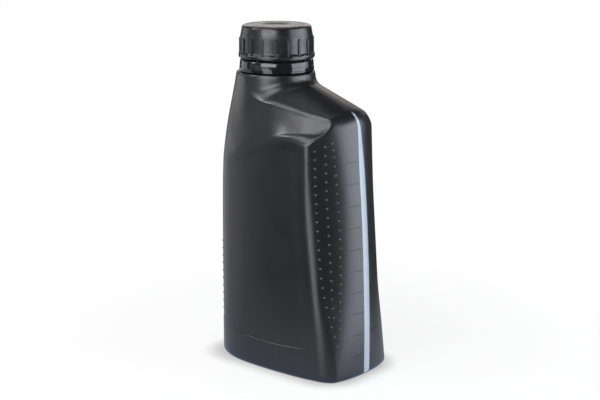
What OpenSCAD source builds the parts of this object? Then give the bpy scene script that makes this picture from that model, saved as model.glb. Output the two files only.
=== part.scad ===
// One-litre blown bottle with an offset screw neck, a ribbed cap, its sealing disc and tamper band.
// X runs along the width with the see-through strip at +X, the label panel faces -Y, Z is up.
// The back mirrors the front about the parting plane Y = 0.

/* [Body] */
// Half of the body's width
half_width = 57.7; // [54:0.1:62]
// Half of the body's depth at the middle of the label panel
half_depth = 35.5; // [33:0.1:38]
// Height of the collar's top face, under the tamper band
collar_top = 197; // [185:1:215]
// Radius of the bow of the label panel in plan
panel_bow = 310; // [250:10:600]
// How far the +X side leans in between its foot and the shoulder
side_lean = 7.4; // [5:0.1:9]
// Radius of the -X side in plan
flank_bow = 62; // [56:1:80]
// Width of the soft corner between the panel and the -X side
flank_corner = 20.5; // [14:0.5:22]
// Height of the soft edge round the foot
foot_round = 3.4; // [2.6:0.1:5]
// How far the body flares at its foot
foot_flare = 0.5; // [0:0.1:1]
// How far the middle of the base is pushed up
push_up = 3; // [2:0.5:5]
// Wall of the blown body
wall = 0.9; // [0.8:0.1:1.4]

/* [Panel] */
// X of the ridge beside the panel at its upper, upright end
ridge_x = 33.6; // [32:0.1:36]
// How fast the ridge runs outwards below its bend, mm per mm
ridge_lean = 0.095; // [0.085:0.001:0.105]
// How far the bend of the ridge is below the collar's top
ridge_bend_drop = 69; // [60:1:80]
// How much fuller the +X side is at its foot, which leaves a bevel beside the ridge
foot_full = 4.5; // [3:0.1:6]
// Softness of the ridge
ridge_round = 1.6; // [1:0.1:3]
// Depth of the label panel below its border
panel_depth = 0.5; // [0.2:0.1:1]
// Height of the lower border of the label panel
panel_foot = 20.3; // [16:0.1:30]

/* [Shoulder] */
// How far the shoulder line beside the neck is below the collar's top
roof_drop = 9.3; // [8:0.1:12]
// X at which roof_drop is taken
roof_from = 14.6; // [13:0.1:16]
// Fall of the shoulder line towards +X, mm per mm
roof_fall = 0.40; // [0.36:0.01:0.44]
// How far the foot of the shoulder facet is below the collar's top
facet_drop = 36; // [33:0.5:39]
// How far the crease over the facet is set in from the panel, at X = 0
crease_in = 6.8; // [6:0.1:8]
// How far the crease is above the foot of the facet, at X = 0
crease_rise = 18.8; // [17:0.1:20]
// Taper of the -X flank up to the neck, mm per mm
flank_taper = 0.23; // [0.2:0.01:0.26]

/* [Neck] */
// X of the neck's axis
neck_x = -20.2; // [-22:0.1:-18]
// Radius of the neck at the root of its thread
neck_r = 20.6; // [19.5:0.1:21]
// Wall of the neck
neck_wall = 2.2; // [1.6:0.1:2.6]
// Height of the neck above the collar
neck_h = 27.2; // [26:0.1:30]
// How far the bead that keeps the band down stands out
bead_out = 1.5; // [1.2:0.1:1.6]

/* [Tamper band] */
// Height of the band
band_h = 7.9; // [7:0.1:8.4]
// Wall of the band
band_wall = 1.8; // [1.4:0.1:2]
// How far the band's catch stands in under the bead
catch_in = 1.7; // [1.4:0.1:1.9]
// Height of the bridges between the band and the cap
bridge_h = 0.8; // [0.6:0.1:1.2]
// Number of bridges
bridge_count = 9; // [6:1:12]

/* [Cap] */
// Wall of the cap between the ribs
cap_wall = 1.7; // [1.4:0.1:2]
// Thickness of the cap's top under the dish
cap_roof = 1.3; // [1:0.1:2]
// Depth of the dish in the cap's top
dish_depth = 0.7; // [0.3:0.1:1]
// How far the cap's upper rim is set in from its wall
rim_inset = 1.3; // [0.8:0.1:1.6]
// How far the cap's foot ring stands out from its wall
foot_ring_out = 1.2; // [0.6:0.1:1.5]
// Number of grip ribs
rib_count = 18; // [12:1:24]
// Width of a grip rib
rib_w = 1.5; // [1:0.1:2.5]
// Height of a grip rib
rib_h = 12.6; // [9:0.1:14]
// How far a grip rib stands out from the wall
rib_out = 0.9; // [0.4:0.1:1.1]
// Turn of the first rib from +X
rib_turn = -52; // [-60:1:-40]

/* [Liner] */
// Thickness of the sealing disc
liner_t = 1.0; // [0.8:0.1:1.4]

/* [Hidden] */
$fn = 96;

// Rounding of the collar's upper edge
collar_round = 1.2;

// Gaps between the pieces
touch_gap = 0.1;
band_gap = 0.6;
bead_gap = 1.1;
thread_space = 1.9;
liner_gap = 0.4;

// Heights that follow from the collar
facet_z = collar_top - facet_drop;
roof_z = collar_top - roof_drop;
ridge_bend = collar_top - ridge_bend_drop;
side_top = collar_top - 39;
blend_top = collar_top - 19;
collar_foot = collar_top - 60;
neck_top = collar_top + neck_h;
band_foot = collar_top + band_gap;
band_top = band_foot + band_h;
cap_foot = band_top + bridge_h;
cap_inside = neck_top + liner_t + 2 * touch_gap;
cap_top = cap_inside + cap_roof + dish_depth;
rib_foot = cap_foot + 2;
bead_z = band_top - 1.4;

// Radii that follow from the neck
mouth_r = neck_r - neck_wall;
bead_r = neck_r + bead_out;
band_bore_r = bead_r + bead_gap;
band_r = band_bore_r + band_wall;
catch_r = band_bore_r - catch_in;
collar_r = band_r + 0.7;
cap_bore_r = neck_r + thread_space;
cap_wall_r = cap_bore_r + cap_wall;
cap_rim_r = cap_wall_r - rim_inset;
foot_ring_r = cap_wall_r + foot_ring_out;
liner_r = cap_bore_r - liner_gap;

// Half depth at which the ridge runs
ridge_y = half_depth - 2.1;

// Heights of the rings that carry the outer and the inner skin
eye_z = collar_top - 52;
foot_heights = [0, 0.4, 1.1, 2.2, 4, 8, 14];
side_ring_count = 12;
outer_heights = concat(foot_heights, [for (i = [0 : side_ring_count]) mix(19, side_top, i / side_ring_count)]);
inner_ring_count = 4;
inner_heights = concat([wall, wall + 1.5, wall + 6],
                       [for (i = [0 : inner_ring_count]) mix(16, eye_z, i / inner_ring_count)]);
arch_rings = 3;
facet_rings = 12;
roof_rings = 15;
inner_shoulder_rings = 13;
// The point inside the body from which the shoulder's rings are taken
eye = [-8, 0, eye_z];
// Columns in each sector: +X side, panel and back, -X side
side_cols = 18;
panel_cols = 19;
flank_cols = 14;
flank_angle = 148;
cols = side_cols + 2 * panel_cols + flank_cols;
search_span = 110;
search_steps = 16;

// Soft forms of the larger and the smaller of two values, blended over a width k
function soft_max(a, b, k) = max(a, b) + pow(max(k - abs(a - b), 0) / k, 2) * k / 4;
function soft_min(a, b, k) = -soft_max(-a, -b, k);
function clamp01(t) = max(0, min(1, t));
function ease(a, b, v) = let (t = clamp01((v - a) / (b - a))) t * t * (3 - 2 * t);
function mix(a, b, t) = a + (b - a) * t;
function unit(v) = v / norm(v);
function last(list) = list[len(list) - 1];
function reversed(list) = [for (i = [len(list) - 1 : -1 : 0]) list[i]];

// Outlines of the body as functions of height
function side_at(z) = half_width - side_lean * pow(max(0, min(1.4, (z - 15) / (side_top - 15))), 2);
function ridge_at(z) =
    ridge_x + ridge_lean * soft_max(ridge_bend - z, 0, 30);
function flank_at(z) =
    2.2 * pow(max(0, min(2, (z - 60) / 100)), 2) + 0.3 * pow(clamp01((40 - z) / 40), 2) - half_width;

// How far the panel stands from the parting plane
function panel_border(x) = panel_foot + 2 * pow(x / 38, 2);
function panel_at(x, z) =
    let (sunk = ease(-0.6, 0.6, z - panel_border(x)) * ease(0, 6, ridge_at(z) - 4 - x))
    half_depth + foot_flare * pow(clamp01((30 - z) / 30), 2) - x * x / (2 * panel_bow) - panel_depth * sunk;

// The +X side in plan: bowed between the ridges, with a bevel beside the ridge near the foot
function side_face(y, z) =
    let (bend = 1.85 + 0.1 * ease(side_top - 40, side_top, z) + 0.15 * ease(-60, -10, -z))
    let (full = ridge_at(z) + foot_full * pow(clamp01((70 - z) / 70), 2))
    let (bowed = side_at(z) - (side_at(z) - full) * pow(y / ridge_y, bend))
    soft_min(bowed, ridge_at(z) + 1.1 * (ridge_y - y), 0.5);

// The sloping top of the shoulder, crowned about the parting plane
function roof_at(x, y) =
    let (crown = 0.016 - 0.00012 * x + 0.0003 * max(0, -x))
    roof_z - roof_fall * (x - roof_from) - crown * y * y + 0.1 * pow(max(0, -18 - x), 2);

// Heights of the arched top of the panel and of the crease between the facet and the roof
function arch_at(x) =
    facet_z + 0.3 - pow(min(x - 20, 0), 2) / 150 - 0.1 * soft_max(x - 20, 0, 8);
function crease_at(x) = facet_z + crease_rise - 0.17 * x;

// The facet leans in from the top of the panel to the crease, and is hollow at its +X end
function facet_at(x, z) =
    let (foot = half_depth - 0.2 - 0.0026 * pow(max(0, 17 - x), 2) - 0.3 * soft_max(x - 20, 0, 8))
    let (inner = half_depth - crease_in - 0.17 * max(x, -6) - 0.0013 * pow(max(x, 0), 2))
    let (height = crease_at(x) - facet_z)
    let (rise = (z - facet_z) / height)
    let (hollow = 0.65 * ease(24, 42, x) * clamp01(rise * (1 - rise)))
    foot - soft_max(foot - inner, 0.24 * height, 2) * (rise + hollow);

// Each is below zero inside the body, above zero outside, and close to the distance from the skin
function body_plan(x, y, z) =
    let (h = min(blend_top, max(0, z)))
    let (front = y - panel_at(x, h))
    let (side = (x - side_face(y, h)) * 0.87)
    let (ridge = ridge_round + 1.5 * pow(clamp01((30 - z) / 30), 2))
    let (flank = norm([min(x - flank_at(h) - flank_bow, 0), y]) - flank_bow)
    soft_max(soft_max(front, side, ridge), flank, flank_corner);
function taper(x, y, z) =
    let (r = collar_r + 0.2 + flank_taper * (collar_top - z) + 0.1 * max(0, x - neck_x))
    (norm([min(x - neck_x, 0), y]) - r) * 0.98;
function facet(x, y, z) = (y - facet_at(x, z)) * 0.82;
function roof(x, y, z) = (z - roof_at(x, y)) * 0.85;
function collar(x, y, z) =
    soft_max(norm([x - neck_x, y]) - collar_r - 0.06 * (collar_top - z), collar_foot - z, 1);
function skin(x, y, z) =
    let (leaning = soft_max(body_plan(x, y, z), taper(x, y, z), 6))
    let (roofed = soft_max(leaning, roof(x, y, z), 1.5 + 5.5 * ease(32, 46, x)))
    let (scooped = soft_max(roofed, facet(x, y, z), 1.2))
    let (footed = soft_max(scooped, -z, foot_round))
    soft_min(footed, collar(x, y, z), 4);

// Where a ray from a point inside meets the skin, or the skin set in by a wall
function reach(o, d, inset, lo = 0, hi = search_span, n = search_steps) =
    let (m = (lo + hi) / 2)
    let (p = o + m * d)
    n == 0 ? p :
    skin(p[0], abs(p[1]), p[2]) + inset > 0 ? reach(o, d, inset, lo, m, n - 1)
                                            : reach(o, d, inset, m, hi, n - 1);

// Angle of column j at height z: the columns keep to the ridges
function ridge_angle(z) = atan2(ridge_y, ridge_at(z));
function crowd_ends(u) = u - 0.07 * sin(360 * u);
function crowd_end(u) = 1 - pow(1 - u, 1.4);
function column_angle(j, z) =
    let (r = ridge_angle(z))
    let (panel_end = side_cols + panel_cols)
    let (flank_end = panel_end + flank_cols)
    j < side_cols ? mix(-r, r, crowd_ends(j / side_cols)) :
    j < panel_end ? mix(r, flank_angle, pow((j - side_cols) / panel_cols, 1.15)) :
    j < flank_end ? mix(flank_angle, 360 - flank_angle, (j - panel_end) / flank_cols) :
    mix(360 - r, 360 - flank_angle, pow((cols - j) / panel_cols, 1.15));

// Rings of points
function side_ring(z, inset) =
    [for (j = [0 : cols - 1])
        let (a = column_angle(j, z))
        reach([0, 0, z], [cos(a), sin(a), 0], inset)];
function round_ring(r, z) =
    [for (j = [0 : cols - 1])
        let (a = column_angle(j, eye_z))
        [neck_x + r * cos(a), r * sin(a), z]];
function scaled_ring(ring, s, z) = [for (p = ring) [p[0] * s, p[1] * s, z]];
// The skin at a share t of the way from a point on one ring up to a point on another, seen from the eye
function between(low, high, t, inset) =
    let (a = unit(low - eye))
    let (b = unit(high - eye))
    let (w = acos(a * b))
    reach(eye, (sin((1 - t) * w) * a + sin(t * w) * b) / sin(w), inset);
// The share at which a column reaches the arch over the panel or the crease over the facet
function share_at(low, high, crease, lo = 0, hi = 1, n = 7) =
    let (m = (lo + hi) / 2)
    let (p = between(low, high, m, 0))
    n == 0 ? m :
    p[2] > (crease ? crease_at(p[0]) : arch_at(p[0])) ? share_at(low, high, crease, lo, m, n - 1)
                                                      : share_at(low, high, crease, m, hi, n - 1);
// The outer shoulder's rings follow the arch and the crease
function outer_shoulder(low, high) =
    let (arch = [for (j = [0 : cols - 1]) max(0.08, share_at(low[j], high[j], false))])
    let (crease = [for (j = [0 : cols - 1]) min(0.9, max(arch[j] + 0.12, share_at(low[j], high[j], true)))])
    concat([for (i = [1 : arch_rings]) [for (j = [0 : cols - 1])
                between(low[j], high[j], arch[j] * i / arch_rings, 0)]],
           [for (i = [1 : facet_rings]) [for (j = [0 : cols - 1])
                between(low[j], high[j], mix(arch[j], crease[j], i / facet_rings), 0)]],
           [for (i = [1 : roof_rings - 1]) [for (j = [0 : cols - 1])
                between(low[j], high[j], mix(crease[j], 1, crowd_end(i / roof_rings)), 0)]]);
function inner_shoulder(low, high) =
    [for (i = [1 : inner_shoulder_rings - 1]) [for (j = [0 : cols - 1])
        between(low[j], high[j], crowd_end(i / inner_shoulder_rings), wall)]];

// Outer skin from the middle of the base up to the collar
function outer_skin() =
    let (sides = [for (z = outer_heights) side_ring(z, 0)])
    let (rim = round_ring(collar_r, collar_top - collar_round))
    concat([scaled_ring(sides[0], 0.02, push_up), scaled_ring(sides[0], 0.84, push_up),
            scaled_ring(sides[0], 0.92, 0)],
           sides, outer_shoulder(last(sides), rim),
           [rim, round_ring(collar_r - 0.3 * collar_round, collar_top - 0.3 * collar_round),
            round_ring(collar_r - collar_round, collar_top)]);
// Inner skin from the middle of the base up to the mouth
function inner_skin() =
    let (sides = [for (z = inner_heights) side_ring(z, wall)])
    let (rim = round_ring(collar_r - wall, collar_top - 2 * wall))
    let (lip_r = mouth_r + 0.2)
    concat([scaled_ring(sides[0], 0.02, push_up + wall), scaled_ring(sides[0], 0.84, push_up + wall)],
           sides, inner_shoulder(last(sides), rim),
           [rim, round_ring(lip_r, collar_top - 1.6 * wall), round_ring(lip_r, collar_top)]);

module blown_body() {
    rings = concat(outer_skin(), reversed(inner_skin()));
    count = len(rings);
    faces = concat(
        [[for (j = [0 : cols - 1]) j]],
        [for (i = [0 : count - 2]) for (j = [0 : cols - 1]) for (half = [0, 1])
            let (k = (j + 1) % cols)
            half == 0 ? [i * cols + j, (i + 1) * cols + j, (i + 1) * cols + k]
                      : [i * cols + j, (i + 1) * cols + k, i * cols + k]],
        [[for (j = [cols - 1 : -1 : 0]) (count - 1) * cols + j]]);
    polyhedron(points = [for (ring = rings) for (p = ring) p], faces = faces);
}

// The neck's wall with the bead that holds the band down
module neck() {
    translate([neck_x, 0, 0])
        rotate_extrude()
            polygon([
                [mouth_r, collar_top], [neck_r, collar_top], [neck_r, bead_z - bead_out],
                [bead_r, bead_z - 0.4], [bead_r, bead_z], [neck_r, bead_z + bead_out],
                [neck_r, neck_top - 0.4], [neck_r - 0.4, neck_top], [mouth_r, neck_top]]);
}

module bottle() {
    color("#26272b") union() {
        blown_body();
        neck();
    }
}

module tamper_band() {
    edge = 0.3;
    catch_z = bead_z - bead_out - 1.6;
    color("#101113") translate([neck_x, 0, 0]) {
        rotate_extrude()
            polygon([
                [band_bore_r, band_foot], [band_r - edge, band_foot], [band_r, band_foot + edge],
                [band_r, band_top - edge], [band_r - edge, band_top], [band_bore_r, band_top],
                [band_bore_r, catch_z + 1], [catch_r, catch_z + 0.8], [catch_r, catch_z],
                [band_bore_r, catch_z - 1]]);
        for (i = [0 : bridge_count - 1])
            rotate(i * 360 / bridge_count)
                translate([band_bore_r + 0.3, -0.5, band_top - 0.2])
                    cube([1.1, 1, 0.2 + bridge_h - touch_gap]);
    }
}

module cap_liner() {
    color("#d8d8d4")
        translate([neck_x, 0, neck_top + touch_gap])
            cylinder(r = liner_r, h = liner_t);
}

// Upright ribs whose tops slope in to the wall
module cap_ribs() {
    tip = rib_foot + rib_h;
    intersection() {
        rotate_extrude()
            polygon([
                [cap_wall_r - 0.6, rib_foot - 0.5], [cap_wall_r + rib_out, rib_foot - 0.5],
                [cap_wall_r + rib_out, tip - 2.2], [cap_wall_r - 0.6, tip - 0.3]]);
        for (i = [0 : rib_count - 1])
            rotate(rib_turn + i * 360 / rib_count)
                translate([cap_wall_r - 2, -rib_w / 2, rib_foot - 2])
                    cube([5, rib_w, rib_h + 4]);
    }
}

module cap() {
    edge = 0.4;
    color("#131416") translate([neck_x, 0, 0]) difference() {
        union() {
            rotate_extrude()
                polygon([
                    [0, cap_foot], [foot_ring_r - edge, cap_foot], [foot_ring_r, cap_foot + edge],
                    [foot_ring_r, rib_foot], [cap_wall_r, rib_foot + 1.2],
                    [cap_wall_r - 0.1, rib_foot + rib_h], [cap_rim_r, cap_top - edge],
                    [cap_rim_r - edge, cap_top], [cap_rim_r - 1.6, cap_top],
                    [cap_rim_r - 2, cap_top - dish_depth], [0, cap_top - dish_depth]]);
            cap_ribs();
        }
        translate([0, 0, cap_foot - 1])
            cylinder(r = cap_bore_r, h = cap_inside - cap_foot + 1);
    }
}

bottle();
tamper_band();
cap_liner();
cap();
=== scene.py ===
# A one-litre blown bottle in satin black with a see-through strip, its ribbed screw cap,
# the sealing disc inside the cap and the tamper band below it.
# X runs along the width with the strip at +X, the label panel faces -Y, Z is up.

import math

import bmesh
import bpy
import numpy as np
from mathutils import Matrix, Vector


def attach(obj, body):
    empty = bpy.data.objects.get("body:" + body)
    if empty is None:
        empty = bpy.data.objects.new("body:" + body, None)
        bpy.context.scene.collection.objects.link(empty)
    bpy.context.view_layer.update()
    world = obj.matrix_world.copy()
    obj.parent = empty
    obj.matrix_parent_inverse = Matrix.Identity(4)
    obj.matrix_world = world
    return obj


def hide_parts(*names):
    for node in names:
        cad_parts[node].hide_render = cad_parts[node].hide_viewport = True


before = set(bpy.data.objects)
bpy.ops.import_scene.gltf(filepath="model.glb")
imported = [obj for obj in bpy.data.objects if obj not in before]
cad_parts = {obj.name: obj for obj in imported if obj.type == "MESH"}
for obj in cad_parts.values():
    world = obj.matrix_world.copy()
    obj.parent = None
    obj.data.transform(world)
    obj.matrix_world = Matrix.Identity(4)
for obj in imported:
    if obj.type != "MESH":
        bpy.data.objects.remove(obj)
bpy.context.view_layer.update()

# Shapes are worked out in millimetres and placed in metres
MM = 0.001

# Body
HALF_WIDTH = 57.7
HALF_DEPTH = 35.5
BASE_CORNER = 22.0
COLLAR_TOP = 197.0
SIDE_LEAN = 7.4
FLANK_BOW = 62.0
FLANK_CORNER = 20.5
PANEL_BOW = 310.0
PANEL_DEPTH = 0.7
PANEL_FOOT = 19.9
RIDGE_X = 33.6
RIDGE_Y = 33.4
FACET_FOOT = 161.0
SCOOP_DEPTH = 0.6
UPRIGHT_FROM = 178.0
FOOT_ROUND = 3.4
FOOT_FLARE = 0.5
PUSH_UP = 3.0
WALL = 0.9

# The shoulder's rings are cast from a point inside the bottle; halving finds where a ray ends
EYE = np.array([-8.0, 0.0, 145.0])
FARTHEST = 110.0
HALVINGS = 24

# See-through strip, which is narrower at its tip
STRIP_HALF = 2.8
STRIP_TIP_HALF = 1.1
STRIP_NARROWS_FROM = 132.0
STRIP_NARROWS_TO = 181.0
STRIP_FOOT = 1.2
STRIP_TIP = 176.4

# Neck, band and cap
NECK_X = -20.2
NECK_R = 20.6
MOUTH_R = 18.4
NECK_TOP = 224.2
COLLAR_R = 25.7
BEAD_R = 22.1
BAND_R = 25.0
BAND_BORE_R = 23.2
BAND_FOOT = 197.6
BAND_TOP = 205.5
CAP_FOOT = 206.3
CAP_TOP = 227.4
CAP_BORE_R = 22.5
RIB_COUNT = 18
RIB_TURN = -52.0
RIB_R = 25.1
RIB_ROOT_R = 23.6
RIB_WIDTH = 1.5
RIB_FOOT = 207.6
RIB_TOP = 219.2
RIB_ROOT_TOP = 220.7
RIB_ROUND = 0.42
SKIRT_R = 24.15
SCALLOP_FOOT = 207.95
SCALLOP_TOP = 213.0
SCALLOP_RISE = 0.18
PITCH = 4.0
THREAD_ROOT_HALF = 0.9
THREAD_CREST_HALF = 0.4
THREAD_STEPS = 72
BRIDGE_COUNT = 9
BRIDGE_R = 24.1
BRIDGE_SIZE = (1.1, 1.0, 0.9)

# Relief on the bottle
DOT_R = 0.88
DOT_FLATNESS = 0.7
DOT_SINK = 0.12
MARK_COUNT = 10
MARK_FIRST = 15.9
MARK_PITCH = 14.35
MARK_LEFT = (-12.4, -4.2)
MARK_RIGHT = (4.8, 14.0)
MARK_HALF = 0.22
MARK_ROOT_HALF = 0.42
MARK_PROUD = 0.28
MARK_SINK = 0.4

# Columns round the bottle: side with the strip, panel and back, far side
SIDE_COLS = 72
PANEL_COLS = 72
FLANK_COLS = 48
FLANK_ANGLE = 148.0

# Edges with a sharper turn than this, in degrees, stay crisp
SHARP_ANGLE = 40.0

# Studio, in metres and degrees
FLOOR_HALF = 6.0
AMBIENT = 0.07
LAMP_AIM = Vector((0, 0, 0.12))
LAMP_DISTANCE = 0.9
DAYLIGHT = "#fafbff"
COOL_LIGHT = "#ebf2ff"
NEUTRAL_LIGHT = "#fdfdff"
WARM_LIGHT = "#fffaf6"
SENSOR_WIDTH = 36.0
FOCAL_LENGTH = 80.65
CAMERA_PLACE = (0.5622, -0.6747, 0.3276)
CAMERA_TILT = 76.14
CAMERA_TURN = 39.805


def soft_max(a, b, k):
    # The larger of two values, with the corner between them rounded over the width k
    return np.maximum(a, b) + np.maximum(k - np.abs(a - b), 0) ** 2 / (4 * k)


def soft_min(a, b, k):
    return -soft_max(-a, -b, k)


def ease(low, high, v):
    # From none at low to one at high, level at both ends
    t = np.clip((v - low) / (high - low), 0, 1)
    return t * t * (3 - 2 * t)


def side_at(z):
    # Where the side with the strip stands on the parting plane
    return HALF_WIDTH - SIDE_LEAN * np.clip((z - 15) / 143, 0, 1.4) ** 2


def ridge_at(z):
    # Where the ridge between the panel and the strip's side runs
    return RIDGE_X + 0.095 * soft_max(128 - z, 0, 30)


def flank_at(z):
    # Where the far side stands on the parting plane
    lean = 2.2 * np.clip((z - 60) / 100, 0, 2) ** 2
    return lean + 0.3 * np.clip((40 - z) / 40, 0, 1) ** 2 - HALF_WIDTH


def arch_at(x):
    # Height of the arched top of the panel
    return 162.1 - 0.38 * soft_max(12 - x, 0, 26) - 0.1 * soft_max(x - 20, 0, 8)


def panel_at(x, z):
    # The label panel bows a little; a shallow step along its foot lets it in, and it runs out
    # towards the ridge and the arch
    border = PANEL_FOOT + 2.7 * (x / 38) ** 2
    sunk = np.clip((z - border) / 1.1 + 0.5, 0, 1) * ease(0, 12, ridge_at(z) - 4 - x)
    sunk = sunk * ease(0, 9, arch_at(x) - z)
    flare = FOOT_FLARE * np.clip((30 - z) / 30, 0, 1) ** 2
    return HALF_DEPTH + flare - x * x / (2 * PANEL_BOW) - PANEL_DEPTH * sunk


def side_face(y, z):
    # The side bows out from ridge to ridge; near the base it is fuller and leaves a bevel by the ridge
    bend = 1.85 + 0.1 * ease(118, 158, z) + 0.55 * ease(-60, -10, -z)
    full = ridge_at(z) + 4.5 * np.clip((70 - z) / 70, 0, 1) ** 2
    bowed = side_at(z) - (side_at(z) - full) * (y / RIDGE_Y) ** bend
    return soft_min(bowed, ridge_at(z) + 1.1 * (RIDGE_Y - y), 0.5)


def roof_at(x, y):
    # The roof of the shoulder falls from the neck to the strip's side and is crowned from front to back
    crown = 0.016 - 0.00012 * x + 0.0003 * np.maximum(0, -x)
    return 187.7 - 0.4 * (x - 14.6) - crown * y * y + 0.1 * np.maximum(0, -18 - x) ** 2


def crease_at(x):
    # Height of the edge between the roof of the shoulder and the facet below it
    return 179.85 - 0.17 * x


def facet_at(x, z):
    # The facet leans in from the top of the panel to the crease, and is hollow at its right end
    foot = 35.3 - 0.0026 * np.maximum(0, 17 - x) ** 2 - 0.3 * soft_max(x - 20, 0, 8)
    foot = foot - 0.45 * ease(-30, -16, -x) * ease(-16, 0, x)
    rise = (z - FACET_FOOT) / (crease_at(x) - FACET_FOOT)
    hollow = 0.65 * ease(24, 42, x) * np.clip(rise * (1 - rise), 0, 1)
    inner = 28.7 - 0.17 * np.maximum(x, -6) - 0.0013 * np.maximum(x, 0) ** 2
    depth = soft_max(foot - inner, 0.24 * (crease_at(x) - FACET_FOOT), 2)
    return foot - depth * (rise + hollow)


def skin(x, y, z):
    # Below zero inside the bottle's outer form, above zero outside; y is taken from the parting plane
    h = np.clip(z, 0, UPRIGHT_FROM)
    ridge = 1.6 + 1.6 * ease(-150, -105, -z) + 0.3 * np.clip((30 - z) / 30, 0, 1) ** 2
    form = soft_max(y - panel_at(x, h), (x - side_face(y, h)) * 0.87, ridge)
    flank = np.hypot(np.minimum(x - flank_at(h) - FLANK_BOW, 0), y) - FLANK_BOW
    form = soft_max(form, flank, FLANK_CORNER)
    taper = COLLAR_R + 0.2 + 0.23 * (COLLAR_TOP - z) + 0.1 * np.maximum(0, x - NECK_X)
    form = soft_max(form, (np.hypot(np.minimum(x - NECK_X, 0), y) - taper) * 0.98, 6)
    form = soft_max(form, (z - roof_at(x, y)) * 0.85, 1.5 + 5.5 * ease(32, 46, x))
    # The facet is sunk a little behind the rounded rims along its edges
    side = (side_face(y, h) - x) * 0.87
    sunk = ease(0.9, 2.2, side) * ease(1.2 - 1.6 * ease(-22, 0, -x), 3.6, z - arch_at(x))
    sunk = sunk * np.maximum(ease(0.6, 1.6, crease_at(x) - z), ease(22, 34, x)) * ease(-45, 18, x)
    form = soft_max(form, (y - facet_at(x, z)) * 0.82 + SCOOP_DEPTH * sunk, 1.2)
    form = soft_max(form, -z, FOOT_ROUND + 1.0 * ease(25, 50, x))
    collar = np.hypot(x - NECK_X, y) - COLLAR_R - 0.06 * (COLLAR_TOP - z)
    return soft_min(form, soft_max(collar, 137 - z, 1), 4)


def skin_at(place):
    return skin(place[..., 0], np.abs(place[..., 1]), place[..., 2])


def reach(start, way, inset=0.0):
    # Where a ray from inside meets the skin, or the skin set in by a wall
    near = np.zeros(way.shape[:-1])
    far = np.full(way.shape[:-1], FARTHEST)
    for step in range(HALVINGS):
        middle = (near + far) / 2
        outside = skin_at(start + way * middle[..., None]) + inset > 0
        far = np.where(outside, middle, far)
        near = np.where(outside, near, middle)
    return start + way * near[..., None]


def facing(place):
    # Outward direction of the skin at a place
    steps = np.eye(3) * 0.02
    slope = np.array([skin_at(place + s) - skin_at(place - s) for s in steps])
    return Vector(slope / np.linalg.norm(slope))


def column_angles(z):
    # Angles of the columns at the heights z: they keep to the ridges
    ridge = np.arctan2(RIDGE_Y, ridge_at(z))[:, None]
    flank = np.radians(FLANK_ANGLE)
    side = np.arange(SIDE_COLS) / SIDE_COLS
    side = side + 0.06 * np.sin(2 * np.pi * side)
    panel = (np.arange(PANEL_COLS) / PANEL_COLS) ** 1.1
    back = ((PANEL_COLS - np.arange(PANEL_COLS)) / PANEL_COLS) ** 1.1
    rest = np.arange(FLANK_COLS) / FLANK_COLS
    return np.concatenate((
        ridge * (2 * side - 1),
        ridge + (flank - ridge) * panel,
        np.tile(flank + 2 * (np.pi - flank) * rest, (len(z), 1)),
        2 * np.pi - ridge - (flank - ridge) * back), axis=1)


def side_rows(z, inset=0.0):
    # Rings of the walls at the heights z
    angle = column_angles(z)
    way = np.stack((np.cos(angle), np.sin(angle), np.zeros_like(angle)), axis=-1)
    start = np.zeros_like(way)
    start[..., 2] = z[:, None]
    return reach(start, way, inset)


def ring_rows(sizes):
    # Rings round the neck's axis from pairs of radius and height
    angle = column_angles(EYE[2:])[0]
    return np.array([
        np.stack((NECK_X + r * np.cos(angle), r * np.sin(angle), np.full_like(angle, z)), axis=-1)
        for r, z in sizes])


def shoulder_rows(low, high, count, inset=0.0):
    # Rings that climb from one ring to another, as seen from a point inside the bottle
    a = (low - EYE) / np.linalg.norm(low - EYE, axis=-1, keepdims=True)
    b = (high - EYE) / np.linalg.norm(high - EYE, axis=-1, keepdims=True)
    turn = np.arccos(np.sum(a * b, axis=-1, keepdims=True))
    share = (np.arange(1, count) / count)[:, None, None]
    way = (np.sin((1 - share) * turn) * a + np.sin(share * turn) * b) / np.sin(turn)
    return reach(np.broadcast_to(EYE, way.shape), way, inset)


def scaled_rows(ring, sizes):
    # Copies of a ring from pairs of its share of the size and its height
    return np.array([ring * (s, s, 0) + (0, 0, z) for s, z in sizes])


def wrapped_sheet(bm, rows):
    # A flat grid is wrapped onto the rows; merging closes its seam and its poles
    count, cols = rows.shape[:2]
    made = bmesh.ops.create_grid(bm, x_segments=cols, y_segments=count - 1, size=1)["verts"]
    places = np.concatenate((rows, rows[:, :1]), axis=1).reshape(-1, 3) * MM
    for vert, place in zip(made, places):
        vert.co = place
    bmesh.ops.remove_doubles(bm, verts=made, dist=1e-7)
    bmesh.ops.recalc_face_normals(bm, faces=bm.faces)


def turned(bm, profile, steps):
    # A profile of radius and height is spun round the neck's axis
    verts = [bm.verts.new(((NECK_X + r) * MM, 0, z * MM)) for r, z in profile]
    edges = [bm.edges.new(pair) for pair in zip(verts, verts[1:])]
    bmesh.ops.spin(
        bm, geom=verts + edges, cent=(NECK_X * MM, 0, 0), axis=(0, 0, 1),
        angle=2 * math.pi, steps=steps, use_merge=True)
    bmesh.ops.remove_doubles(bm, verts=bm.verts, dist=1e-6)
    bmesh.ops.recalc_face_normals(bm, faces=bm.faces)


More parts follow.
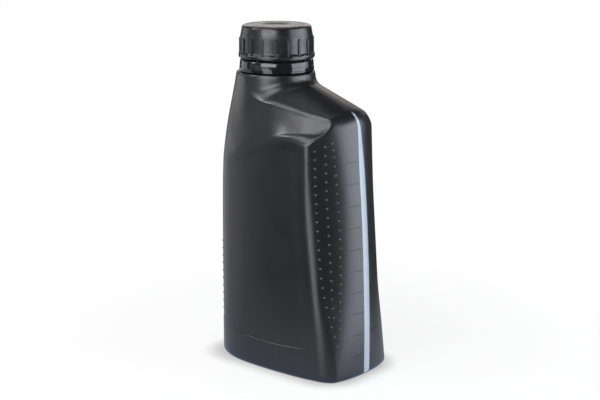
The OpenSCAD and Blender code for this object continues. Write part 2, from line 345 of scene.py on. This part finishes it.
def thread(root, crest, height, turns, start):
    # A moulded thread: a blunt-ended ridge spun up a helix
    bm = bmesh.new()
    section = [
        (root, -THREAD_ROOT_HALF), (crest, -THREAD_CREST_HALF),
        (crest, THREAD_CREST_HALF), (root, THREAD_ROOT_HALF)]
    verts = [bm.verts.new(((NECK_X + r) * MM, 0, (height + z) * MM)) for r, z in section]
    bmesh.ops.rotate(
        bm, verts=verts, cent=(NECK_X * MM, 0, 0), matrix=Matrix.Rotation(math.radians(start), 3, "Z"))
    face = bm.faces.new(verts)
    steps = int(turns * THREAD_STEPS)
    bmesh.ops.spin(
        bm, geom=[face] + list(face.edges) + verts, cent=(NECK_X * MM, 0, 0), axis=(0, 0, 1),
        dvec=(0, 0, turns * PITCH * MM / steps), angle=turns * 2 * math.pi, steps=steps)
    bmesh.ops.recalc_face_normals(bm, faces=bm.faces)
    return bm


def piece(bm, name, node, body, material):
    # Makes one piece of the part from its finished mesh
    mesh = bpy.data.meshes.new(name)
    bm.to_mesh(mesh)
    bm.free()
    mesh.shade_smooth()
    mesh.set_sharp_from_angle(angle=math.radians(SHARP_ANGLE))
    mesh.materials.append(material)
    made = bpy.data.objects.new(name, mesh)
    bpy.context.scene.collection.objects.link(made)
    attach(made, body)
    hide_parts(node)


def join(bm, part):
    # Puts one mesh in making into another
    carrier = bpy.data.meshes.new("carrier")
    part.to_mesh(carrier)
    part.free()
    bm.from_mesh(carrier)
    bpy.data.meshes.remove(carrier)


def grip_dots(way, spots):
    # Small grip dots, flattened balls let into the skin where rays along way meet it; the attribute
    # tells the plastic where they are
    bm = bmesh.new()
    flat = Matrix.Diagonal((1, 1, DOT_FLATNESS, 1))
    for y, z in spots:
        place = reach(np.array([0.0, y, z]), np.array([way, 0.0, 0.0]))
        out = facing(place)
        turn = out.to_track_quat("Z", "Y").to_matrix().to_4x4()
        where = Matrix.Translation((Vector(place) - DOT_SINK * out) * MM) @ turn @ flat
        bmesh.ops.create_uvsphere(bm, u_segments=12, v_segments=8, radius=DOT_R * MM, matrix=where)
    layer = bm.verts.layers.float.new("dot")
    for vert in bm.verts:
        vert[layer] = 1.0
    return bm


def level_mark(z, span):
    # A thin raised bar that lies on the side face at one height
    bm = bmesh.new()
    bmesh.ops.create_cube(bm, size=1)
    along = [e for e in bm.edges if abs(e.verts[0].co.y - e.verts[1].co.y) > 0.5]
    bmesh.ops.subdivide_edges(bm, edges=along, cuts=6, use_grid_fill=True)
    ys = np.array([span[0] + (vert.co.y + 0.5) * (span[1] - span[0]) for vert in bm.verts])
    start = np.stack((0 * ys, ys, 0 * ys + z), axis=-1)
    on_skin = reach(start, np.broadcast_to([1.0, 0.0, 0.0], start.shape))
    for vert, place in zip(bm.verts, on_skin):
        outer = vert.co.x > 0
        tall = math.copysign(MARK_HALF if outer else MARK_ROOT_HALF, vert.co.z)
        vert.co = Vector(place + (MARK_PROUD if outer else -MARK_SINK, 0, tall)) * MM
    return bm


def dot_spots():
    # Three columns of dots that follow the ridge and the bow of the side; the spaces grow downwards
    spots = []
    for i in range(22):
        z = 153.9 - 5.5 * i - 0.03 * i * i
        spots.append((0.0017 * max(0.0, 84 - z) ** 2 - 29.95, z))
    for i in range(20):
        spots.append((-24.7, 156.4 - 5.6 * i - 0.015 * i * i))
    for i in range(23):
        z = 149.6 - (5.95 if i > 2 else 4.5) * (i - 2)
        spots.append((-18.7 - 0.00064 * (z - 104) ** 2, z))
    return spots


def outer_rows():
    # From the middle of the pushed-up base out, up the walls and over the shoulder to the collar
    heights = np.concatenate((
        [0.0, 0.12, 0.3, 0.6, 1.0, 1.5, 2.1, 2.8, 3.6, 4.6, 5.8, 7.2, 8.8],
        [10.4, 12, 13.6, 15.2, 16.8, 18],
        np.linspace(18.6, 25.8, 25), np.linspace(27, EYE[2], 88)))
    sides = side_rows(heights)
    collar = ring_rows([(COLLAR_R, COLLAR_TOP - 1.6)])[0]
    base = scaled_rows(sides[0], [
        (0, PUSH_UP), (0.4, PUSH_UP), (0.78, PUSH_UP), (0.82, PUSH_UP - 0.2), (0.86, 1.7), (0.89, 0.6),
        (0.91, 0.1), (0.93, 0)])
    return np.concatenate((base, sides, shoulder_rows(sides[-1], collar, 128), collar[None]))


def neck_rows():
    # The rim of the collar, the neck with the bead that keeps the band down, the mouth and the bore
    return ring_rows([
        (COLLAR_R - 0.06, COLLAR_TOP - 1.1), (COLLAR_R - 0.28, COLLAR_TOP - 0.6),
        (COLLAR_R - 0.65, COLLAR_TOP - 0.22), (COLLAR_R - 1.2, COLLAR_TOP), (21.6, COLLAR_TOP),
        (20.9, 197.3), (NECK_R, 198), (NECK_R, 202.4), (21.0, 202.7), (21.9, 203.4), (BEAD_R, 203.7),
        (BEAD_R, 204.1), (21.8, 204.5), (20.9, 205.3), (NECK_R, 205.7), (NECK_R, 223.6), (20.48, 223.95),
        (20.2, NECK_TOP), (18.8, NECK_TOP), (18.52, 224.08), (MOUTH_R, 223.8), (MOUTH_R, 198.5),
        (18.6, 197), (19.2, 196), (20.2, 195.5), (22.5, 195.25)])


def inner_rows():
    # The inside of the wall, from the base up to the neck
    low = side_rows(np.array([WALL, WALL + 0.4, 2.2, 3.4, 5.2, 8]), WALL)
    high = side_rows(np.linspace(14, EYE[2], 9), WALL)
    lip = ring_rows([(COLLAR_R - WALL, 195.2)])[0]
    base = scaled_rows(low[0], [(0, PUSH_UP + WALL), (0.8, PUSH_UP + WALL), (0.88, 2.2)])
    return np.concatenate((base, low, high, shoulder_rows(high[-1], lip, 16, WALL), lip[None]))


def bottle():
    # Body and neck in one wall, with the thread, the grip dots and the level marks on it
    bm = bmesh.new()
    wrapped_sheet(bm, np.concatenate((outer_rows(), neck_rows(), inner_rows()[::-1])))
    join(bm, thread(root=NECK_R - 0.3, crest=21.8, height=209.2, turns=2.2, start=20))
    join(bm, grip_dots(1.0, dot_spots()))
    # One column of dots stands on the far side
    join(bm, grip_dots(-1.0, [(-20.4, 29.5 + 5.4 * i) for i in range(10)]))
    # Every second level mark goes on behind the strip
    for i in range(MARK_COUNT):
        height = MARK_FIRST + MARK_PITCH * i
        join(bm, level_mark(height, MARK_LEFT))
        if i % 2:
            join(bm, level_mark(height, MARK_RIGHT))
    return bm


def tamper_band():
    # The ring left on the neck, with its groove and the inner edge that catches under the bead
    bm = bmesh.new()
    turned(bm, [
        (BAND_BORE_R, BAND_FOOT + 0.2), (BAND_BORE_R + 0.2, BAND_FOOT), (BAND_R - 0.5, BAND_FOOT),
        (BAND_R - 0.15, BAND_FOOT + 0.12), (BAND_R, BAND_FOOT + 0.45), (24.76, 201.1), (24.63, 201.2),
        (24.62, 201.4), (24.72, 201.5), (24.46, 204.1), (24.34, 204.5), (24.1, 204.85), (23.8, 205.2),
        (23.6, BAND_TOP), (BAND_BORE_R + 0.2, BAND_TOP),
        (BAND_BORE_R, BAND_TOP - 0.2), (BAND_BORE_R, 201.9), (21.6, 201.7), (21.5, 201.5), (21.5, 201.0),
        (21.7, 200.8), (BAND_BORE_R, 199.9), (BAND_BORE_R, BAND_FOOT + 0.2)], 144)
    # Stubs of the bridges that held the band to the cap
    for i in range(BRIDGE_COUNT):
        stub = bmesh.ops.create_cube(bm, size=1)["verts"]
        bmesh.ops.scale(bm, verts=stub, vec=[size * MM for size in BRIDGE_SIZE])
        bmesh.ops.translate(bm, verts=stub, vec=((NECK_X + BRIDGE_R) * MM, 0, (BAND_TOP + 0.25) * MM))
        bmesh.ops.rotate(
            bm, verts=stub, cent=(NECK_X * MM, 0, 0),
            matrix=Matrix.Rotation(math.radians(i * 360 / BRIDGE_COUNT), 3, "Z"))
    return bm


def cap():
    # A dished top, a skirt with ribs that stand on a foot ring, and the thread inside
    bm = bmesh.new()
    turned(bm, [
        (0, 225.4), (21.9, 225.4), (22.3, 225.3), (CAP_BORE_R, 225.1), (CAP_BORE_R, 207), (22.7, 206.5),
        (23.1, CAP_FOOT), (24.9, CAP_FOOT), (25.25, 206.45), (25.4, 206.8), (25.4, 207.9), (25.3, 208.3),
        (25.0, 208.7), (24.65, 209.1), (24.4, 209.6), (24.27, 210.2), (24.22, 211), (24.18, 214.5),
        (24.12, 218), (24.1, 220.6), (24.04, 221), (23.9, 221.4), (23.5, 223.6), (23.12, 225.9),
        (23.02, 226.4), (22.8, 226.85), (22.4, 227.18), (21.9, 227.36), (21.4, CAP_TOP),
        (20.9, CAP_TOP), (20.75, 227.3), (20.5, 227.3), (20.35, CAP_TOP), (14.2, CAP_TOP),
        (13, 227.3), (11.6, 227.06), (10, 226.77), (8.4, 226.52), (6.8, 226.36), (5, 226.28),
        (3, 226.26), (2.2, 226.2), (1.2, 226.16), (0, 226.16)], 8 * RIB_COUNT)
    for vert in bm.verts:
        # The foot ring swings up between the ribs
        x = vert.co.x / MM - NECK_X
        y = vert.co.y / MM
        z = vert.co.z / MM
        gap = ((math.degrees(math.atan2(y, x)) - RIB_TURN) * RIB_COUNT / 360) % 1
        if math.hypot(x, y) > SKIRT_R and SCALLOP_FOOT < z < SCALLOP_TOP:
            vert.co.z += SCALLOP_RISE * (SCALLOP_TOP - z) * (1 - (2 * gap - 1) ** 2) * MM
    for i in range(RIB_COUNT):
        rib = bmesh.ops.create_cube(bm, size=1)["verts"]
        for vert in rib:
            outer = vert.co.x > 0
            out = RIB_R if outer else RIB_ROOT_R
            top = RIB_TOP if outer else RIB_ROOT_TOP
            height = top if vert.co.z > 0 else RIB_FOOT
            vert.co = Vector(((NECK_X + out) * MM, vert.co.y * RIB_WIDTH * MM, height * MM))
        edges = set()
        for vert in rib:
            if vert.co.x > (NECK_X + RIB_R - 0.1) * MM:
                edges.update(vert.link_edges)
        rounded = bmesh.ops.bevel(
            bm, geom=list(edges), offset=RIB_ROUND * MM, segments=3, profile=0.5, affect="EDGES",
            material=-1)
        verts = list({v for v in rounded["verts"]} | {v for v in rib if v.is_valid})
        bmesh.ops.rotate(
            bm, verts=verts, cent=(NECK_X * MM, 0, 0),
            matrix=Matrix.Rotation(math.radians(RIB_TURN + i * 360 / RIB_COUNT), 3, "Z"))
    bmesh.ops.recalc_face_normals(bm, faces=bm.faces)
    join(bm, thread(root=CAP_BORE_R + 0.3, crest=21.2, height=211.2, turns=1.8, start=20))
    return bm


def cap_liner():
    # A flat disc that the mouth has pressed a shallow ring into
    bm = bmesh.new()
    turned(bm, [
        (0, 224.3), (17.8, 224.3), (18.2, 224.36), (20.6, 224.36), (21, 224.3), (21.8, 224.3),
        (22.02, 224.38), (22.1, 224.55), (22.1, 225.05), (22.02, 225.22), (21.8, 225.3), (0, 225.3)], 96)
    return bm


def linear(text):
    # sRGB hex to linear colour
    parts = [int(text[i:i + 2], 16) / 255 for i in (1, 3, 5)]
    return tuple(c / 12.92 if c <= 0.04045 else ((c + 0.055) / 1.055) ** 2.4 for c in parts) + (1.0,)


def add_node(tree, kind, settings, inputs):
    # One node with its settings; an input is a value or another node's output
    made = tree.nodes.new(kind)
    for name, value in settings.items():
        setattr(made, name, value)
    for name, value in inputs.items():
        if isinstance(value, bpy.types.NodeSocket):
            tree.links.new(value, made.inputs[name])
        else:
            made.inputs[name].default_value = value
    return made


def new_material(name):
    made = bpy.data.materials.new(name)
    made.use_nodes = True
    made.node_tree.nodes.clear()
    return made, made.node_tree


def object_place(tree):
    return add_node(tree, "ShaderNodeTexCoord", {}, {}).outputs["Object"]


def noise(tree, where, size, detail):
    # Cloudy noise with lumps of about this size in millimetres
    return add_node(
        tree, "ShaderNodeTexNoise", {},
        {"Vector": where, "Scale": 1 / (size * MM), "Detail": detail}).outputs[0]


def calc(tree, operation, a, b):
    return add_node(tree, "ShaderNodeMath", {"operation": operation}, {0: a, 1: b}).outputs[0]


def vector_calc(tree, operation, a, b, result):
    return add_node(
        tree, "ShaderNodeVectorMath", {"operation": operation}, {0: a, 1: b}).outputs[result]


def fade(tree, value, low, high, before, after):
    # Eases from one level to another while the value goes from low to high
    return add_node(
        tree, "ShaderNodeMapRange", {"interpolation_type": "SMOOTHSTEP"},
        {0: value, 1: low, 2: high, 3: before, 4: after}).outputs[0]


def spread(tree, value, low, high, before, after):
    # Goes evenly from one level to another while the value goes from low to high
    return add_node(
        tree, "ShaderNodeMapRange", {}, {0: value, 1: low, 2: high, 3: before, 4: after}).outputs[0]


def blend(tree, share, first, second):
    # A colour between two others
    return add_node(
        tree, "ShaderNodeMix", {"data_type": "RGBA"}, {0: share, 6: first, 7: second}).outputs[2]


def plastic(tree, colour, rough, ior, normal):
    shader = add_node(
        tree, "ShaderNodeBsdfPrincipled", {},
        {"Base Color": colour, "Roughness": rough, "IOR": ior, "Normal": normal})
    add_node(tree, "ShaderNodeOutputMaterial", {}, {"Surface": shader.outputs[0]})


def strip_share(tree, axes, off_plane):
    # One on the see-through strip and none elsewhere
    half = fade(
        tree, axes["Z"], STRIP_NARROWS_FROM * MM, STRIP_NARROWS_TO * MM,
        STRIP_HALF * MM, STRIP_TIP_HALF * MM)
    across = fade(tree, calc(tree, "DIVIDE", off_plane, half), 0.9, 1.08, 1.0, 0.0)
    below = fade(tree, axes["Z"], (STRIP_TIP - 2.2) * MM, STRIP_TIP * MM, 1.0, 0.0)
    above = fade(tree, axes["Z"], STRIP_FOOT * MM, (STRIP_FOOT + 1.8) * MM, 0.0, 1.0)
    right = calc(tree, "GREATER_THAN", axes["X"], 0.0)
    upright = calc(tree, "MULTIPLY", calc(tree, "MULTIPLY", across, below), above)
    return calc(tree, "MULTIPLY", upright, right)


def black_hdpe():
    # High density polyethylene, blown in a finely blasted mould: a satin black whose soft grey
    # reflections show the form, with a fine parting line, duller grip dots with a painted highlight
    # that makes them paler, and a stripe of uncoloured resin that lets light through.
    made, tree = new_material("black_hdpe")
    where = object_place(tree)
    axes = add_node(tree, "ShaderNodeSeparateXYZ", {}, {0: where}).outputs
    grain = noise(tree, where, 0.9, 3.0)
    flow = noise(tree, where, 26, 3.0)
    dot = add_node(tree, "ShaderNodeAttribute", {"attribute_name": "dot"}, {}).outputs["Fac"]
    off_plane = calc(tree, "ABSOLUTE", axes["Y"], 0.0)
    strip = strip_share(tree, axes, off_plane)
    line = fade(tree, off_plane, 0.15 * MM, 0.55 * MM, 1.0, 0.0)
    parting = add_node(
        tree, "ShaderNodeMath", {"operation": "SUBTRACT", "use_clamp": True},
        {0: line, 1: strip}).outputs[0]
    black = blend(tree, flow, linear("#0d0e10"), linear("#121315"))
    black = blend(tree, parting, black, linear("#020203"))
    # Painted highlight: the grip dots are painted a paler grey in place of the light their domes catch
    black = blend(tree, dot, black, linear("#2c2d30"))
    colour = blend(tree, strip, black, linear("#8f979f"))
    rough = spread(tree, flow, 0.25, 0.75, 0.29, 0.35)
    rough = add_node(tree, "ShaderNodeMix", {}, {0: dot, 2: rough, 3: 0.5}).outputs[0]
    bump = add_node(
        tree, "ShaderNodeBump", {}, {"Strength": 0.12, "Distance": 0.1 * MM, "Height": grain})
    bump = add_node(
        tree, "ShaderNodeBump", {},
        {"Strength": 0.8, "Distance": -0.25 * MM, "Height": parting, "Normal": bump.outputs[0]})
    plastic(tree, colour, rough, 1.54, bump.outputs[0])
    return made


def black_pp(name, dullest, ripple_strength):
    # Polypropylene, injection moulded: a deep black, satin on the cap, glossy and a little rippled
    # on the band from a polished tool.
    made, tree = new_material(name)
    where = object_place(tree)
    ripple = noise(tree, where, 7, 2.0)
    haze = noise(tree, where, 6, 1.0)
    colour = blend(tree, haze, linear("#0c0d0e"), linear("#111214"))
    rough = spread(tree, haze, 0.3, 0.7, 0.7 * dullest, dullest)
    bump = add_node(
        tree, "ShaderNodeBump", {},
        {"Strength": ripple_strength, "Distance": 0.12 * MM, "Height": ripple})
    plastic(tree, colour, rough, 1.5, bump.outputs[0])
    return made


def white_foam():
    # Expanded polyethylene, cut from sheet: a matt white with the fine cells of the foam.
    made, tree = new_material("white_foam")
    where = object_place(tree)
    cells = add_node(
        tree, "ShaderNodeTexVoronoi", {}, {"Vector": where, "Scale": 1 / (0.6 * MM)}).outputs["Distance"]
    colour = blend(tree, cells, linear("#d2d1cb"), linear("#e9e8e3"))
    bump = add_node(tree, "ShaderNodeBump", {}, {"Strength": 0.4, "Distance": 0.1 * MM, "Height": cells})
    plastic(tree, colour, 0.75, 1.5, bump.outputs[0])
    return made


def white_floor():
    # Painted board: white to the camera, keeping the bottle's shadow, with a painted shadow that darkens
    # the white round the foot.
    made, tree = new_material("white_floor")
    where = object_place(tree)
    rays = add_node(tree, "ShaderNodeLightPath", {}, {}).outputs
    away = vector_calc(tree, "LENGTH", where, (0, 0, 0), "Value")
    # Distance beyond the centres of the base's rounded corners
    core = ((HALF_WIDTH - BASE_CORNER) * MM, (HALF_DEPTH - BASE_CORNER) * MM, 0)
    sides = vector_calc(tree, "ABSOLUTE", where, (0, 0, 0), 0)
    sides = vector_calc(tree, "SUBTRACT", sides, core, 0)
    sides = vector_calc(tree, "MAXIMUM", sides, (0, 0, 0), 0)
    beside = vector_calc(tree, "LENGTH", sides, (0, 0, 0), "Value")
    lit = add_node(
        tree, "ShaderNodeBsdfPrincipled", {},
        {"Base Color": linear("#f2f2f2"), "Roughness": 0.22, "IOR": 1.45}).outputs[0]
    # Painted shadow: the white the camera sees dims round the base's foot
    painted_foot_shadow = fade(tree, beside, (BASE_CORNER - 6) * MM, (BASE_CORNER + 12) * MM, 0.55, 1.0)
    glow = add_node(tree, "ShaderNodeEmission", {}, {"Strength": painted_foot_shadow}).outputs[0]
    clear = calc(tree, "MULTIPLY", fade(tree, away, 0.08, 0.3, 0.85, 1.0), rays["Is Camera Ray"])
    direct = add_node(tree, "ShaderNodeMixShader", {}, {0: clear, 1: lit, 2: glow}).outputs[0]
    # In reflections the floor glows pale by the bottle, a painted reflection that is bluish at its foot,
    # and gives way to the lamps further out
    near = fade(tree, away, 0.03, 0.26, 1.0, 0.0)
    further = fade(tree, beside, (BASE_CORNER + 5) * MM, (BASE_CORNER + 11) * MM, 0.0, 1.0)
    # Painted reflection: a bluish glow, seen only in reflections, that tints the bottle's foot
    cast = blend(tree, further, linear("#c4dcff"), linear("#d0d9e6"))
    sheen = add_node(tree, "ShaderNodeEmission", {}, {"Color": cast, "Strength": 1.0}).outputs[0]
    gone = add_node(tree, "ShaderNodeBsdfTransparent", {}, {}).outputs[0]
    mirrored = add_node(tree, "ShaderNodeMixShader", {}, {0: near, 1: gone, 2: sheen}).outputs[0]
    surface = add_node(
        tree, "ShaderNodeMixShader", {}, {0: rays["Is Glossy Ray"], 1: direct, 2: mirrored}).outputs[0]
    add_node(tree, "ShaderNodeOutputMaterial", {}, {"Surface": surface})
    return made


def studio():
    # A wide floor, and a world that is white to the camera and dim for all else
    bm = bmesh.new()
    bmesh.ops.create_grid(bm, x_segments=1, y_segments=1, size=FLOOR_HALF)
    mesh = bpy.data.meshes.new("floor")
    bm.to_mesh(mesh)
    bm.free()
    mesh.materials.append(white_floor())
    floor = bpy.data.objects.new("floor", mesh)
    bpy.context.scene.collection.objects.link(floor)
    floor.visible_shadow = False

    world = bpy.data.worlds.new("studio")
    bpy.context.scene.world = world
    world.use_nodes = True
    tree = world.node_tree
    tree.nodes.clear()
    seen = add_node(tree, "ShaderNodeLightPath", {}, {}).outputs["Is Camera Ray"]
    level = calc(tree, "MAXIMUM", seen, AMBIENT)
    sky = add_node(
        tree, "ShaderNodeBackground", {}, {"Color": (1, 1, 1, 1), "Strength": level}).outputs[0]
    add_node(tree, "ShaderNodeOutputWorld", {}, {"Surface": sky})


def softbox(name, azimuth, elevation, width, height, power, tint, distance=LAMP_DISTANCE):
    # A soft light that faces the middle of the bottle; azimuth 0 is the front and 90 the strip's side
    lamp = bpy.data.lights.new(name, "AREA")
    lamp.shape = "RECTANGLE"
    lamp.size = width
    lamp.size_y = height
    lamp.energy = power
    lamp.color = linear(tint)[:3]
    made = bpy.data.objects.new(name, lamp)
    bpy.context.scene.collection.objects.link(made)
    a = math.radians(azimuth)
    e = math.radians(elevation)
    way = Vector((math.sin(a) * math.cos(e), -math.cos(a) * math.cos(e), math.sin(e)))
    made.location = LAMP_AIM + way * distance
    made.rotation_euler = way.to_track_quat("Z", "Y").to_euler()
    made.visible_camera = False


def camera():
    optics = bpy.data.cameras.new("camera")
    optics.sensor_width = SENSOR_WIDTH
    optics.lens = FOCAL_LENGTH
    made = bpy.data.objects.new("camera", optics)
    made.location = CAMERA_PLACE
    made.rotation_euler = (math.radians(CAMERA_TILT), 0, math.radians(CAMERA_TURN))
    bpy.context.scene.collection.objects.link(made)
    bpy.context.scene.camera = made


camera()
studio()
# Azimuth, elevation, width, height, power and tint of each lamp
softbox("softbox_front_low", 10, -11, 0.42, 0.42, 2.0, DAYLIGHT)
softbox("softbox_front", 3, 4, 0.36, 0.22, 0.7, DAYLIGHT)
softbox("softbox_front_high", 14, 20, 0.75, 0.24, 4.7, DAYLIGHT)
softbox("softbox_front_left", 338, 4, 0.3, 0.3, 0.25, DAYLIGHT)
softbox("softbox_right", 114, 9, 0.84, 0.65, 9.6, COOL_LIGHT)
softbox("softbox_right_low", 114, -22, 0.84, 0.3, 3.4, COOL_LIGHT)
softbox("softbox_far_right", 146, 14, 0.26, 0.5, 1.1, COOL_LIGHT)
softbox("softbox_left", 280, 6, 0.56, 0.34, 0.82, NEUTRAL_LIGHT)
softbox("softbox_left_low", 300, -14, 0.5, 0.34, 0.4, NEUTRAL_LIGHT)
softbox("softbox_far_left", 262, -14, 0.6, 0.3, 0.4, NEUTRAL_LIGHT)
softbox("softbox_top", 4, 49, 0.36, 0.5, 2.5, NEUTRAL_LIGHT)
softbox("softbox_top_left", 334, 53, 0.6, 0.34, 1.7, NEUTRAL_LIGHT)
softbox("softbox_panel_foot", 315, 35, 0.18, 0.2, 1.9, NEUTRAL_LIGHT)
softbox("softbox_arch", 318, 7, 0.26, 0.26, 0.12, NEUTRAL_LIGHT)
softbox("softbox_over", 220, 84, 0.44, 0.44, 0.5, NEUTRAL_LIGHT)
softbox("softbox_back", 220, 17, 1.2, 0.2, 0.6, WARM_LIGHT)
softbox("softbox_cap", 220, 34, 0.2, 0.06, 0.045, WARM_LIGHT, distance=0.3)
bpy.context.scene.view_settings.view_transform = "Standard"

gloss_pp = black_pp("gloss_black_pp", dullest=0.14, ripple_strength=0.5)
satin_pp = black_pp("satin_black_pp", dullest=0.36, ripple_strength=0.1)
piece(bottle(), "blown_bottle", "bottle", "bottle", black_hdpe())
piece(tamper_band(), "closure_band", "tamper_band", "bottle", gloss_pp)
piece(cap_liner(), "closure_disc", "cap_liner", "liner", white_foam())
piece(cap(), "closure_cap", "cap", "cap", satin_pp)
